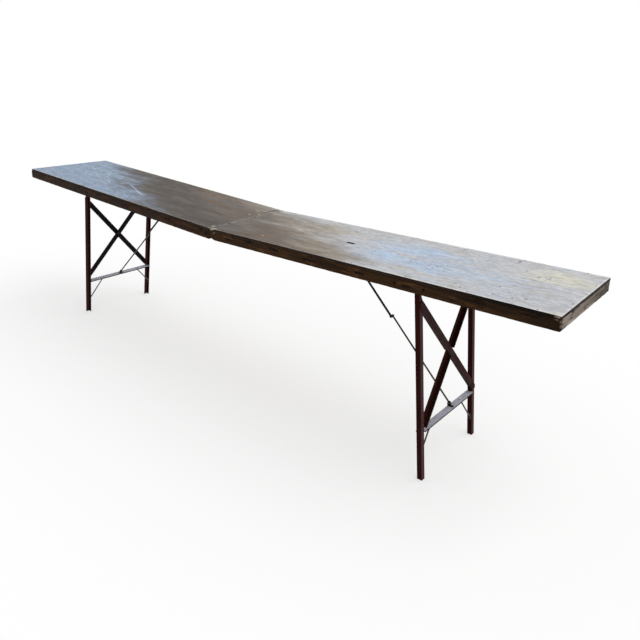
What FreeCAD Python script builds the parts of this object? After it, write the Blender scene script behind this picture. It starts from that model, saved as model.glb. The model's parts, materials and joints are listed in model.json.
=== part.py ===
import FreeCAD, Part
import math
import os

# Folding trestle table: two leaves meet at a sagging hinged joint, and an iron trestle folds up under each.
# Millimetres and degrees. The origin is on the floor below the joint, X runs along the table, Z is up.

# Leaves
leaf_length = 1525.0  # from the hinge line to the outer end
top_width = 480.0
board_thickness = 12.0
rail_depth = 38.5
rail_thickness = 16.0
joint_top_height = 732.0  # top of the boards above the floor at the joint
sag_angle = 1.67  # each leaf rises by this from the joint to its end
joint_gap = 0.4  # between the two top edges, which are the stop of the joint
joint_rail_width = 48.0
end_rail_width = 22.0
bearer_width = 45.0
inner_bearer_distance = 190.0
gouge_distance = 598.0  # old slot in the right top
gouge_length = 36.0
gouge_width = 12.0
gouge_depth = 5.0
gouge_offset = 15.0
worn_corner_length = 28.0  # lower corner of the right front rail at the joint
worn_corner_depth = 14.0

# Hinges under the joint
hinge_spread = 300.0
hinge_width = 60.0
hinge_plate_length = 44.0
hinge_plate_thickness = 2.5
hinge_barrel_radius = 5.5
hinge_barrel_room = 1.5  # between the barrel and the rails
hinge_pin_radius = 3.0
hinge_plate_relief = 0.7  # between a plate and the other plate's knuckles
knuckle_gap = 0.4
pin_head_radius = 4.5
pin_head_thickness = 2.0

# Trestles
trestle_distance = 1032.0  # from the hinge line to the leg pivots, along the leaf
pivot_depth = 17.0  # of the leg pivots, below the board
leg_rake = 6.55  # feet stand outward of the pivots
leg_width = 20.0
leg_wall = 3.0
leg_corner_drop = 8.0  # from the pivot down to the slanted end of the outer flange
leg_slant = 47.0
nest_gap = 1.0  # the two trestles stand aside by this, so that their legs pass when folding
crossbar_height = 189.0
crossbar_width = 24.0  # between the legs
crossbar_lip = 6.0  # further out, past the legs' outer flanges
crossbar_thickness = 5.0
outer_brace_width = 26.0  # angle irons: one flange across the legs, one square to it
outer_brace_upper = 9.0  # part of the width above the rivets
outer_brace_depth = 14.0
inner_brace_width = 27.0
inner_brace_depth = 18.0
brace_thickness = 4.0
brace_gap = 2.0  # from a square flange to the legs and to the brace that it passes
brace_top_drop = 62.0  # from the leg pivot down to the upper ends of the braces
brace_low_rise = 23.0  # from the crossbar up to their lower ends
knee_rod_radius = 3.0
knee_reach = 80.0
knee_height_outer = 94.0  # on the leg that lies next to the rail
knee_height_inner = 82.0  # on the other leg
knee_tab_width = 12.0
knee_tab_length = 26.0
knee_tab_thickness = 2.5
rivet_radius = 3.0
rivet_head_radius = 5.5
rivet_head_height = 2.2

# Leg pivots
pivot_plate_thickness = 3.0
pivot_plate_height = 28.0
pivot_plate_margin = 13.0
bracket_rivet_inward = 77.0  # from the pivot towards the joint
bracket_rivet_outward = 36.0
pivot_washer = 0.7
pivot_play = 0.3
pivot_stud_radius = 5.0
pivot_stud_end = 2.0
pivot_nut_flats = 14.0
pivot_nut_thickness = 6.0
spacer_radius = 9.0

# Folding stays
stay_bracket_distance = 552.0
stay_offset = 14.0  # the stays stand this far to the back of the table's middle
stay_pin_depth = 10.0  # of the stay pins below the board, the lower one when folded
stay_pin_radius = 3.0
stay_pin_head = 1.5
stay_pin_end = 1.0
lug_pin_rise = 16.0  # from the crossbar to the pin of its lug
upper_stay_radius = 4.5
lower_stay_radius = 3.5
stay_eye_radius = 6.0
stay_eye_thickness = 5.0
stay_side_step = 5.5  # each link lies this far to its side of the stay's middle
stay_lap_gap = 0.5
stay_ear_thickness = 2.0
stay_ear_gap = 0.3
stay_shoulder_gap = 2.0  # from the ears to the round part of a link
stay_plate_length = 60.0
stay_plate_width = 40.0
stay_plate_thickness = 2.5

# Nails and wood screws
nail_radius = 1.2
nail_head_radius = 2.8
nail_head_thickness = 1.0
nail_grip_down = 12.0
nail_grip_side = 20.0
nail_count = 7
nail_row_inset = 75.0
screw_radius = 2.0
screw_head_radius = 4.0
screw_head_height = 1.2
screw_inset = 10.0
board_screw_grip = 9.0
rail_screw_grip = 18.0

running_clearance = 0.05
fastener_clearance = 0.05

Vector = FreeCAD.Vector
origin = Vector(0, 0, 0)
along_x = Vector(1, 0, 0)
along_y = Vector(0, 1, 0)
sides = ("left", "right")

# Levels of a leaf, measured from the hinge pin in the leaf's own frame
rail_low = hinge_barrel_radius + hinge_barrel_room
board_low = rail_low + rail_depth
board_top = board_low + board_thickness
pin_height = joint_top_height - board_top
sag = math.radians(sag_angle)
rake = math.radians(leg_rake)
joint_face = (joint_gap / 2 + board_top * math.sin(sag)) / math.cos(sag)
half_width = top_width / 2
rail_inside = half_width - rail_thickness

# Places of the cross members, measured from the hinge line
joint_rail_middle = joint_face + joint_rail_width / 2
end_rail_middle = leaf_length - end_rail_width / 2
outer_bearer_distance = (trestle_distance + leaf_length) / 2


def leaf_point(distance, level):
    """Place in the table's frame of a point of the right leaf."""
    return Vector(
        distance * math.cos(sag) - level * math.sin(sag),
        0,
        pin_height + distance * math.sin(sag) + level * math.cos(sag),
    )


pivot_level = board_low - pivot_depth
pivot = leaf_point(trestle_distance, pivot_level)


def trestle_point(outward, drop):
    """Place in the table's frame of a point of the right trestle, from its pivot."""
    return pivot + Vector(
        outward * math.cos(rake) + drop * math.sin(rake),
        0,
        outward * math.sin(rake) - drop * math.cos(rake),
    )


def drop_to(height):
    """Length along the leg from the pivot down to a height above the floor."""
    return (pivot.z - height) / math.cos(rake)


# Trestle, measured from its pivot
nest_shift = (leg_width + nest_gap) / 2
close_gap = pivot_washer + pivot_play
frame_half = rail_inside - pivot_plate_thickness - close_gap - nest_shift
leg_half = leg_width / 2
flange_inside = leg_half - leg_wall
crossbar_drop = drop_to(crossbar_height)
crossbar_top = crossbar_drop - crossbar_thickness / 2
crossbar_low = crossbar_drop + crossbar_thickness / 2
brace_low_drop = crossbar_drop - brace_low_rise
outer_brace_lower = outer_brace_upper - outer_brace_width
brace_middle_drop = (brace_top_drop + brace_low_drop) / 2

# Folding stay: its links are in line at rest, and lie side by side along the leaf when folded
lug_outward = stay_pin_depth - pivot_depth
lug_drop = crossbar_drop - lug_pin_rise
stay_top = leaf_point(stay_bracket_distance, board_low - stay_pin_depth)
stay_foot = trestle_point(lug_outward, lug_drop)
stay_length = (stay_foot - stay_top).Length
folded_offset = stay_bracket_distance - (trestle_distance - lug_drop)
upper_stay_length = (stay_length - folded_offset) / 2
lower_stay_length = (stay_length + folded_offset) / 2
stay_knuckle = stay_top + (stay_foot - stay_top) * (upper_stay_length / stay_length)


def side_shift(side):
    """Sideways place of a trestle: the left one stands to the back, the right one to the front."""
    return nest_shift if side == "left" else -nest_shift


def block(x0, x1, y0, y1, z0, z1):
    corner = Vector(min(x0, x1), min(y0, y1), min(z0, z1))
    return Part.makeBox(abs(x1 - x0), abs(y1 - y0), abs(z1 - z0), corner)


def bar(start, end, radius):
    return Part.makeCylinder(radius, (end - start).Length, start, end - start)


def pin_along_y(x, z, y0, y1, radius):
    return bar(Vector(x, y0, z), Vector(x, y1, z), radius)


def head(start, end, wide, narrow):
    return Part.makeCone(wide, narrow, (end - start).Length, start, end - start)


def joined(shapes):
    return shapes[0].fuse(shapes[1:]).removeSplitter()


def drilled(shape, cutters):
    return shape.cut(Part.makeCompound(cutters)) if cutters else shape


def on_side(shape, side):
    return shape.mirror(origin, along_x) if side == "left" else shape


def on_leaf(shape, side):
    placed = shape.copy()
    placed.rotate(origin, along_y, -sag_angle)
    placed.translate(Vector(0, 0, pin_height))
    return on_side(placed, side)


def on_trestle(shape, side):
    placed = shape.copy()
    placed.rotate(origin, along_y, -leg_rake)
    placed.translate(pivot)
    return on_side(placed, side)


def export(name, shape):
    shape.exportStep("parts/" + name + ".step")


# Fasteners: each is made with no clearance, and its hole with the fastener clearance
def nail(start, direction, shank_length, clearance=0.0):
    neck = start + direction * nail_head_thickness
    return joined([
        bar(start, neck, nail_head_radius + clearance),
        bar(neck, neck + direction * shank_length, nail_radius + clearance),
    ])


def screw(seat, direction, plate, grip, clearance=0.0):
    """Pan-head screw whose head lies on the seat of a plate and whose shank points along the direction."""
    return joined([
        bar(seat - direction * screw_head_height, seat, screw_head_radius),
        bar(seat, seat + direction * (plate + grip), screw_radius + clearance),
    ])


def cross_members():
    """Middle and width of each member across a leaf."""
    return {
        "joint_rail": (joint_rail_middle, joint_rail_width),
        "inner_bearer": (inner_bearer_distance, bearer_width),
        "outer_bearer": (outer_bearer_distance, bearer_width),
        "end_rail": (end_rail_middle, end_rail_width),
    }


def leaf_nails(clearance=0.0):
    """Nails down through the board into rails and cross members, and through the rails into these."""
    down = Vector(0, 0, -1)
    down_shank = board_thickness - nail_head_thickness + nail_grip_down
    side_shank = rail_thickness - nail_head_thickness + nail_grip_side
    side_level = rail_low + rail_depth / 3
    row = half_width - rail_thickness / 2
    first = joint_face + nail_row_inset
    pitch = (leaf_length - nail_row_inset - first) / (nail_count - 1)
    nails = []
    for edge in (-1, 1):
        for index in range(nail_count):
            place = Vector(first + index * pitch, edge * row, board_top)
            nails.append(nail(place, down, down_shank, clearance))
        for middle, width in cross_members().values():
            place = Vector(middle, edge * rail_inside / 2, board_top)
            nails.append(nail(place, down, down_shank, clearance))
            place = Vector(middle, edge * half_width, side_level)
            nails.append(nail(place, Vector(0, -edge, 0), side_shank, clearance))
    return nails


def bracket_rivets(clearance=0.0):
    """Rivets of the pivot brackets: round heads outside, closed flush inside."""
    rivets = []
    for edge in (-1, 1):
        for offset in (-bracket_rivet_inward, bracket_rivet_outward):
            x = trestle_distance + offset
            outside = Vector(x, edge * half_width, pivot_level)
            crown = Vector(x, edge * (half_width + rivet_head_height), pivot_level)
            inside = Vector(x, edge * (rail_inside - pivot_plate_thickness), pivot_level)
            rivets.append(joined([
                head(outside, crown, rivet_head_radius, rivet_head_radius / 2),
                bar(outside, inside, rivet_radius + clearance),
            ]))
    return rivets


def stay_screws(clearance=0.0):
    up = Vector(0, 0, 1)
    middle = stay_offset - stay_side_step
    reach_x = stay_plate_length / 2 - screw_inset
    reach_y = stay_plate_width / 2 - screw_inset / 2
    seat_level = board_low - stay_plate_thickness
    return [
        screw(
            Vector(stay_bracket_distance + x, middle + y, seat_level),
            up, stay_plate_thickness, board_screw_grip, clearance,
        )
        for x in (-reach_x, reach_x)
        for y in (-reach_y, reach_y)
    ]


def hinge_middles():
    return (-hinge_spread / 2, hinge_spread / 2)


def hinge_screws(clearance=0.0):
    up = Vector(0, 0, 1)
    plate_start = hinge_barrel_radius + hinge_plate_relief
    seat_level = rail_low - hinge_plate_thickness
    return [
        screw(Vector(x, middle + y, seat_level), up, hinge_plate_thickness, rail_screw_grip, clearance)
        for middle in hinge_middles()
        for x in (plate_start + screw_inset, hinge_plate_length - screw_inset)
        for y in (screw_inset - hinge_width / 2, hinge_width / 2 - screw_inset)
    ]


# Wooden leaf
def leaf_holes():
    return (
        leaf_nails(fastener_clearance)
        + bracket_rivets(fastener_clearance)
        + stay_screws(fastener_clearance)
        + hinge_screws(fastener_clearance)
    )


def gouge():
    """Slot with round ends, cut into the top of a board."""
    radius = gouge_width / 2
    reach = gouge_length / 2 - radius
    low = board_top - gouge_depth
    ends = [
        bar(Vector(gouge_distance + x, -gouge_offset, low),
            Vector(gouge_distance + x, -gouge_offset, board_top + gouge_depth), radius)
        for x in (-reach, reach)
    ]
    middle = block(
        gouge_distance - reach, gouge_distance + reach,
        -gouge_offset - radius, -gouge_offset + radius, low, board_top + gouge_depth,
    )
    return joined([middle] + ends)


def board(side):
    sheet = block(joint_face, leaf_length, -half_width, half_width, board_low, board_top)
    sheet = drilled(sheet, leaf_holes())
    return sheet.cut(gouge()) if side == "right" else sheet


def worn_corner():
    """Wedge worn off the lower corner of a rail at the joint."""
    corner = Vector(joint_face, 0, rail_low)
    outline = [
        corner,
        corner + Vector(worn_corner_length, 0, 0),
        corner + Vector(0, 0, worn_corner_depth),
        corner,
    ]
    wedge = Part.Face(Part.makePolygon(outline)).extrude(Vector(0, rail_thickness, 0))
    wedge.translate(Vector(0, -half_width, 0))
    return wedge


def long_rail(side, edge):
    rail = block(joint_face, leaf_length, edge * rail_inside, edge * half_width, rail_low, board_low)
    rail = drilled(rail, leaf_holes())
    return rail.cut(worn_corner()) if (side, edge) == ("right", -1) else rail


def cross_member(name):
    middle, width = cross_members()[name]
    member = block(
        middle - width / 2, middle + width / 2, -rail_inside, rail_inside, rail_low, board_low
    )
    return drilled(member, leaf_holes())


# Hinges: the right plates hold the middle knuckles, the left plates the outer ones
def knuckle_spans(side, middle):
    half = hinge_width / 2
    inner = hinge_width / 6
    if side == "right":
        return [(middle - inner + knuckle_gap / 2, middle + inner - knuckle_gap / 2)]
    return [
        (middle - half, middle - inner - knuckle_gap / 2),
        (middle + inner + knuckle_gap / 2, middle + half),
    ]


def hinge_plate(side, middle):
    plate_start = hinge_barrel_radius + hinge_plate_relief
    half = hinge_width / 2
    pieces = [
        block(
            plate_start, hinge_plate_length, middle - half, middle + half,
            rail_low - hinge_plate_thickness, rail_low,
        )
    ]
    for y0, y1 in knuckle_spans(side, middle):
        pieces.append(pin_along_y(0, 0, y0, y1, hinge_barrel_radius))
        pieces.append(block(0, plate_start, y0, y1, 0, rail_low))
    bore = pin_along_y(0, 0, middle - half, middle + half, hinge_pin_radius + running_clearance)
    return drilled(joined(pieces), [bore] + hinge_screws(fastener_clearance))


def hinge_pin(middle):
    half = hinge_width / 2
    pieces = [pin_along_y(0, 0, middle - half, middle + half, hinge_pin_radius)]
    for edge in (-1, 1):
        y = middle + edge * half
        pieces.append(pin_along_y(0, 0, y, y + edge * pin_head_thickness, pin_head_radius))
    return joined(pieces)


# Leg pivots: the plate and stud are one piece, and the leg turns on the stud between spacer and nut
def leg_face(side, edge):
    """Outer face of a leg, at the front (edge -1) or the back (edge 1)."""
    return side_shift(side) + edge * frame_half


def next_to_rail(side, edge):
    """True for the leg of a trestle that turns close to its rail: front right and back left."""
    return (side == "right") == (edge == -1)


def flange_face(side, edge):
    """Face towards the rail of a leg's side flange, which is the leg's inner side where the leg stands off the rail."""
    setback = 0.0 if next_to_rail(side, edge) else leg_width - leg_wall
    return leg_face(side, edge) - edge * setback


def pivot_bracket(side, edge):
    plate_face = edge * (rail_inside - pivot_plate_thickness)
    stud_end = flange_face(side, edge) - edge * (
        leg_wall + pivot_play + pivot_nut_thickness + pivot_stud_end
    )
    plate = block(
        trestle_distance - bracket_rivet_inward - pivot_plate_margin,
        trestle_distance + bracket_rivet_outward + pivot_plate_margin,
        edge * rail_inside, plate_face,
        pivot_level - pivot_plate_height / 2, pivot_level + pivot_plate_height / 2,
    )
    stud = pin_along_y(trestle_distance, pivot_level, edge * rail_inside, stud_end, pivot_stud_radius)
    return drilled(joined([plate, stud]), bracket_rivets(fastener_clearance))


def pivot_spacer(side, edge):
    plate_face = edge * (rail_inside - pivot_plate_thickness)
    end = flange_face(side, edge) + edge * pivot_play
    tube = pin_along_y(trestle_distance, pivot_level, plate_face, end, spacer_radius)
    bore = pin_along_y(
        trestle_distance, pivot_level, plate_face, end, pivot_stud_radius + fastener_clearance
    )
    return tube.cut(bore)


def pivot_nut(side, edge):
    start = flange_face(side, edge) - edge * (leg_wall + pivot_play)
    corner_radius = pivot_nut_flats / math.sqrt(3)
    corners = [
        Vector(
            trestle_distance + corner_radius * math.sin(math.radians(60 * index)),
            start,
            pivot_level + corner_radius * math.cos(math.radians(60 * index)),
        )
        for index in range(7)
    ]
    prism = Part.Face(Part.makePolygon(corners)).extrude(Vector(0, -edge * pivot_nut_thickness, 0))
    bore = pin_along_y(
        trestle_distance, pivot_level, start, start - edge * pivot_nut_thickness,
        pivot_stud_radius + fastener_clearance,
    )
    return prism.cut(bore)


# Trestle, made upright with its pivot at the origin
def brace_rivet_place(side, edge):
    """Sideways place of the brace rivets: the middle of the free part of a leg's outer flange."""
    inset = (leg_width - leg_wall) / 2
    if next_to_rail(side, edge):
        inset += leg_wall
    return leg_face(side, edge) - edge * inset


def brace_ends(side, name):
    """Front and back rivet places of a brace, as sideways place and drop."""
    front = brace_rivet_place(side, -1)
    back = brace_rivet_place(side, 1)
    if name == "outer":
        return (front, brace_top_drop), (back, brace_low_drop)
    return (front, brace_low_drop), (back, brace_top_drop)


def brace_layer(name):
    """Inner and outer face of a brace: one lies outside the legs' flanges and one inside."""
    if name == "outer":
        return leg_half, leg_half + brace_thickness
    return flange_inside - brace_thickness, flange_inside


def cross_rivet(y, drop, inside, outside, clearance=0.0):
    """Rivet along X with a head at both faces."""
    low = Vector(inside, y, -drop)
    high = Vector(outside, y, -drop)
    rise = Vector(rivet_head_height, 0, 0)
    return [
        head(low, low - rise, rivet_head_radius, rivet_head_radius / 2),
        bar(low, high, rivet_radius + clearance),
        head(high, high + rise, rivet_head_radius, rivet_head_radius / 2),
    ]


def brace_rivets(side, clearance=0.0):
    rivets = []
    for name in ("outer", "inner"):
        layer = brace_layer(name)
        inside = min(layer[0], flange_inside)
        outside = max(layer[1], leg_half)
        for edge, (y, drop) in zip((-1, 1), brace_ends(side, name)):
            if name == "outer" or next_to_rail(side, edge):
                rivets.append(joined(cross_rivet(y, drop, inside, outside, clearance)))
    inside = brace_layer("inner")[0]
    outside = brace_layer("outer")[1]
    middle = (brace_rivet_place(side, -1) + brace_rivet_place(side, 1)) / 2
    collar = bar(
        Vector(flange_inside, middle, -brace_middle_drop),
        Vector(leg_half, middle, -brace_middle_drop),
        rivet_head_radius,
    )
    crossing = cross_rivet(middle, brace_middle_drop, inside, outside, clearance)
    return rivets + [joined(crossing + [collar])]


def knee_drop(side, edge):
    """Drop of the rod's lower end: higher on the leg that lies next to the rail when folded."""
    return drop_to(knee_height_outer if next_to_rail(side, edge) else knee_height_inner)


def knee_foot(side, edge):
    y = flange_face(side, edge) - edge * (leg_wall + knee_tab_thickness / 2)
    return Vector(0, y, -knee_drop(side, edge))


def knee_top(side, edge):
    y = knee_foot(side, edge).y - edge * knee_reach
    return Vector(0, y, -crossbar_low - knee_tab_thickness / 2)


def knee_rivets(side, edge, clearance=0.0):
    """Rivets of the rod's tabs: on the leg closed flush outside, on the crossbar with two heads."""
    seat = flange_face(side, edge) - edge * (leg_wall + knee_tab_thickness)
    drop = knee_drop(side, edge) + knee_tab_length / 4
    on_leg = joined([
        head(
            Vector(0, seat, -drop), Vector(0, seat - edge * rivet_head_height, -drop),
            rivet_head_radius, rivet_head_radius / 2,
        ),
        pin_along_y(0, -drop, seat, flange_face(side, edge), rivet_radius + clearance),
    ])
    y = knee_top(side, edge).y - edge * knee_tab_length / 4
    low = Vector(0, y, -crossbar_low - knee_tab_thickness)
    high = Vector(0, y, -crossbar_top)
    rise = Vector(0, 0, rivet_head_height)
    on_bar = joined([
        head(low, low - rise, rivet_head_radius, rivet_head_radius / 2),
        bar(low, high, rivet_radius + clearance),
        head(high, high + rise, rivet_head_radius, rivet_head_radius / 2),
    ])
    return [on_leg, on_bar]


def frame_rivets(side, clearance=0.0):
    return (
        brace_rivets(side, clearance)
        + knee_rivets(side, -1, clearance)
        + knee_rivets(side, 1, clearance)
    )


def leg(side, edge):
    """Angle iron: a side flange with a round top on the pivot, and an outer flange with a slanted top."""
    face = flange_face(side, edge)
    side_inner = face - edge * leg_wall
    corner = leg_face(side, edge)
    free_edge = corner - edge * leg_width
    if not next_to_rail(side, edge):
        corner, free_edge = free_edge, corner
    foot = -(drop_to(0) + leg_width)
    side_flange = block(-leg_half, leg_half, face, side_inner, foot, 0)
    round_top = pin_along_y(0, 0, face, side_inner, leg_half)
    outline = [
        Vector(flange_inside, corner, -leg_corner_drop),
        Vector(flange_inside, free_edge, -leg_corner_drop - leg_slant),
        Vector(flange_inside, free_edge, foot),
        Vector(flange_inside, corner, foot),
        Vector(flange_inside, corner, -leg_corner_drop),
    ]
    outer_flange = Part.Face(Part.makePolygon(outline)).extrude(Vector(leg_wall, 0, 0))
    bore = pin_along_y(0, 0, face, side_inner, pivot_stud_radius + running_clearance)
    shape = joined([side_flange, round_top, outer_flange])
    return drilled(shape, [bore] + frame_rivets(side, fastener_clearance))


def placed_leg(side, edge):
    """Leg on its pivot, cut off level with the floor."""
    placed = on_trestle(leg(side, edge), side)
    below = block(-leaf_length, leaf_length, -top_width, top_width, -leg_width * 4, 0)
    return placed.cut(below)


def plain_crossbar(side):
    flat = block(
        leg_half - crossbar_width, leg_half,
        flange_face(side, -1) + leg_wall, flange_face(side, 1) - leg_wall,
        -crossbar_low, -crossbar_top,
    )
    lip = block(
        flange_inside, leg_half + crossbar_lip,
        leg_face(side, -1) + leg_width, leg_face(side, 1) - leg_width,
        -crossbar_low, -crossbar_top,
    )
    return joined([flat, lip]).cut(leg(side, -1)).cut(leg(side, 1))


def crossbar(side):
    return drilled(plain_crossbar(side), frame_rivets(side, fastener_clearance))


def along_brace(side, name, x0, x1, low, high):
    """Block from one rivet of a brace to the other, between two lines along the brace."""
    (y0, drop0), (y1, drop1) = brace_ends(side, name)
    length = math.hypot(y1 - y0, drop1 - drop0)
    slope = math.degrees(math.atan2(drop0 - drop1, y1 - y0))
    strip = block(x0, x1, 0, length, low, high)
    strip.rotate(origin, along_x, slope)
    strip.translate(Vector(0, y0, -drop0))
    return strip


def leg_room(side, edge):
    """Space around a leg that the braces' square flanges keep clear of."""
    face = leg_face(side, edge)
    return block(
        -leg_width, leg_width + inner_brace_depth, face + edge * brace_gap, face - edge * (leg_width + brace_gap),
        -drop_to(0), 0,
    )


def brace_flange(side, name):
    """Square flange along a brace's lower edge: the outer brace's points inward, the inner one's outward."""
    inside, outside = brace_layer(name)
    reach = leg_width + inner_brace_depth
    if name == "outer":
        strip = along_brace(
            side, name, outside - outer_brace_depth, outside,
            outer_brace_lower, outer_brace_lower + brace_thickness,
        )
        passing = inner_brace_width / 2 + brace_gap
        strip = strip.cut(along_brace(side, "inner", -reach, reach, -passing, passing))
    else:
        lower = -inner_brace_width / 2
        strip = along_brace(
            side, name, inside, inside + inner_brace_depth, lower, lower + brace_thickness
        )
        strip = strip.cut(along_brace(
            side, "outer", flange_inside, reach,
            outer_brace_lower - brace_gap, outer_brace_upper + brace_gap,
        ))
    return strip.cut(leg_room(side, -1)).cut(leg_room(side, 1))


def brace(side, name):
    """Angle iron from leg to leg: riveted, or welded where the inner one ends against a leg's side flange."""
    inside, outside = brace_layer(name)
    if name == "outer":
        low, high = outer_brace_lower, outer_brace_upper
        front, back = leg_face(side, -1) + brace_gap, leg_face(side, 1) - brace_gap
    else:
        low, high = -inner_brace_width / 2, inner_brace_width / 2
        front, back = flange_face(side, -1) + leg_wall, flange_face(side, 1) - leg_wall
    flat = along_brace(side, name, inside, outside, low, high)
    ends = [
        bar(Vector(inside, y, -drop), Vector(outside, y, -drop), high)
        for y, drop in brace_ends(side, name)
    ]
    strap = joined([flat, brace_flange(side, name)] + ends)
    strap = strap.common(block(
        -leg_width, leg_width + inner_brace_depth, front, back, -drop_to(0), 0
    ))
    return drilled(strap, frame_rivets(side, fastener_clearance))


def knee_rod(side, edge):
    """Round rod with flattened tabs, one on the leg and one under the crossbar."""
    foot = knee_foot(side, edge)
    top = knee_top(side, edge)
    half_thickness = knee_tab_thickness / 2
    half_tab = knee_tab_width / 2
    leg_tab = block(
        -half_tab, half_tab, foot.y - half_thickness, foot.y + half_thickness,
        foot.z - knee_tab_length / 2, foot.z + knee_tab_length / 2,
    )
    bar_tab = block(
        -half_tab, half_tab, top.y - knee_tab_length / 2, top.y + knee_tab_length / 2,
        top.z - half_thickness, top.z + half_thickness,
    )
    rod = joined([bar(foot, top, knee_rod_radius), leg_tab, bar_tab])
    rod = rod.cut(leg(side, edge)).cut(plain_crossbar(side))
    return drilled(rod, frame_rivets(side, fastener_clearance))


# Folding stay
def ear(x, z, y0, y1, seat, radius):
    """Cheek that stands on a seat level and carries a pin."""
    return joined([
        block(x - radius, x + radius, y0, y1, seat, z),
        pin_along_y(x, z, y0, y1, radius),
    ])


def ear_spans(middle):
    inner = stay_eye_thickness / 2 + stay_ear_gap
    outer = inner + stay_ear_thickness
    return [(middle - outer, middle - inner), (middle + inner, middle + outer)]


def stay_bracket():
    middle = stay_offset - stay_side_step
    level = board_low - stay_pin_depth
    plate_low = board_low - stay_plate_thickness
    pieces = [
        block(
            stay_bracket_distance - stay_plate_length / 2, stay_bracket_distance + stay_plate_length / 2,
            middle - stay_plate_width / 2, middle + stay_plate_width / 2, plate_low, board_low,
        )
    ]
    for y0, y1 in ear_spans(middle):
        pieces.append(ear(stay_bracket_distance, level, y0, y1, plate_low, stay_eye_radius))
    bore = pin_along_y(
        stay_bracket_distance, level, middle - stay_plate_width / 2, middle + stay_plate_width / 2,
        stay_pin_radius + fastener_clearance,
    )
    return drilled(joined(pieces), [bore] + stay_screws(fastener_clearance))


def stay_pin(x, z, middle, head_edge):
    """Pin through two ears, with a head at one end and a short riveted-over end at the other."""
    reach = stay_eye_thickness / 2 + stay_ear_gap + stay_ear_thickness
    head_face = middle + head_edge * reach
    far_end = middle - head_edge * (reach + stay_pin_end)
    return joined([
        pin_along_y(x, z, head_face, far_end, stay_pin_radius),
        pin_along_y(x, z, head_face, head_face + head_edge * stay_pin_head, pin_head_radius),
    ])


def stay_lug():
    middle = stay_offset + stay_side_step
    reach = stay_eye_thickness / 2 + stay_ear_gap + stay_ear_thickness
    base_top = -crossbar_top + stay_plate_thickness
    pieces = [
        block(
            lug_outward - stay_eye_radius, leg_half, middle - reach, middle + reach,
            -crossbar_top, base_top,
        )
    ]
    for y0, y1 in ear_spans(middle):
        pieces.append(ear(lug_outward, -lug_drop, y0, y1, -crossbar_top, stay_eye_radius))
    bore = pin_along_y(
        lug_outward, -lug_drop, middle - reach, middle + reach, stay_pin_radius + fastener_clearance
    )
    return drilled(joined(pieces), [bore])


def stay_link(side, place, radius, edge):
    """Link from its pin to the knuckle: a flat eye on the pin, and an eye and rivet head at the knuckle."""
    axis_y = stay_offset + edge * stay_side_step
    lap = stay_offset + edge * stay_lap_gap / 2
    lap_outer = lap + edge * stay_eye_thickness
    half_eye = stay_eye_thickness / 2
    rod = bar(
        Vector(place.x, axis_y, place.z), Vector(stay_knuckle.x, axis_y, stay_knuckle.z), radius
    )
    shoulder = pin_along_y(
        place.x, place.z, axis_y - radius, axis_y + radius, stay_eye_radius + stay_shoulder_gap
    )
    tongue = rod.common(
        block(0, leaf_length, axis_y - half_eye, axis_y + half_eye, 0, joint_top_height)
    )
    eye = pin_along_y(place.x, place.z, axis_y - half_eye, axis_y + half_eye, stay_eye_radius)
    knuckle = pin_along_y(stay_knuckle.x, stay_knuckle.z, lap, lap_outer, stay_eye_radius)
    rivet = pin_along_y(
        stay_knuckle.x, stay_knuckle.z, lap_outer, axis_y + edge * (radius + stay_pin_head), pin_head_radius
    )
    bore = pin_along_y(
        place.x, place.z, axis_y - half_eye, axis_y + half_eye, stay_pin_radius + running_clearance
    )
    link = joined([rod.cut(shoulder), tongue, eye, knuckle, rivet]).cut(bore)
    return on_side(link, side)


def build_leaf(side):
    export(side + "_board", on_leaf(board(side), side))
    for name, edge in (("front", -1), ("back", 1)):
        export(side + "_" + name + "_rail", on_leaf(long_rail(side, edge), side))
        export(side + "_" + name + "_pivot_bracket", on_leaf(pivot_bracket(side, edge), side))
    for name in cross_members():
        export(side + "_" + name, on_leaf(cross_member(name), side))
    spacers = [pivot_spacer(side, edge) for edge in (-1, 1)]
    nuts = [pivot_nut(side, edge) for edge in (-1, 1)]
    plates = [hinge_plate(side, middle) for middle in hinge_middles()]
    pin_level = board_low - stay_pin_depth
    pin_middle = stay_offset - stay_side_step
    groups = {
        "nails": leaf_nails(),
        "bracket_rivets": bracket_rivets(),
        "pivot_spacers": spacers,
        "pivot_nuts": nuts,
        "hinge_plates": plates,
        "wood_screws": stay_screws() + hinge_screws(),
        "stay_bracket": [stay_bracket()],
        "stay_bracket_pin": [stay_pin(stay_bracket_distance, pin_level, pin_middle, -1)],
    }
    for name, shapes in groups.items():
        export(side + "_" + name, on_leaf(Part.makeCompound(shapes), side))


def build_trestle(side):
    for name, edge in (("front", -1), ("back", 1)):
        export(side + "_" + name + "_leg", placed_leg(side, edge))
        export(side + "_" + name + "_knee_rod", on_trestle(knee_rod(side, edge), side))
    for name in ("outer", "inner"):
        export(side + "_" + name + "_brace", on_trestle(brace(side, name), side))
    pin_middle = stay_offset + stay_side_step
    export(side + "_crossbar", on_trestle(crossbar(side), side))
    export(side + "_frame_rivets", on_trestle(Part.makeCompound(frame_rivets(side)), side))
    export(side + "_stay_lug", on_trestle(stay_lug(), side))
    export(side + "_stay_lug_pin", on_trestle(stay_pin(lug_outward, -lug_drop, pin_middle, 1), side))


def build_stay(side):
    export(side + "_upper_stay", stay_link(side, stay_top, upper_stay_radius, -1))
    export(side + "_lower_stay", stay_link(side, stay_foot, lower_stay_radius, 1))


def build():
    os.makedirs("parts", exist_ok=True)
    for side in sides:
        build_leaf(side)
        build_trestle(side)
        build_stay(side)
    pins = Part.makeCompound([hinge_pin(middle) for middle in hinge_middles()])
    pins.translate(Vector(0, 0, pin_height))
    export("hinge_pins", pins)


build()
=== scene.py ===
import json
import math

import bpy
from mathutils import Matrix, Vector, noise


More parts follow.
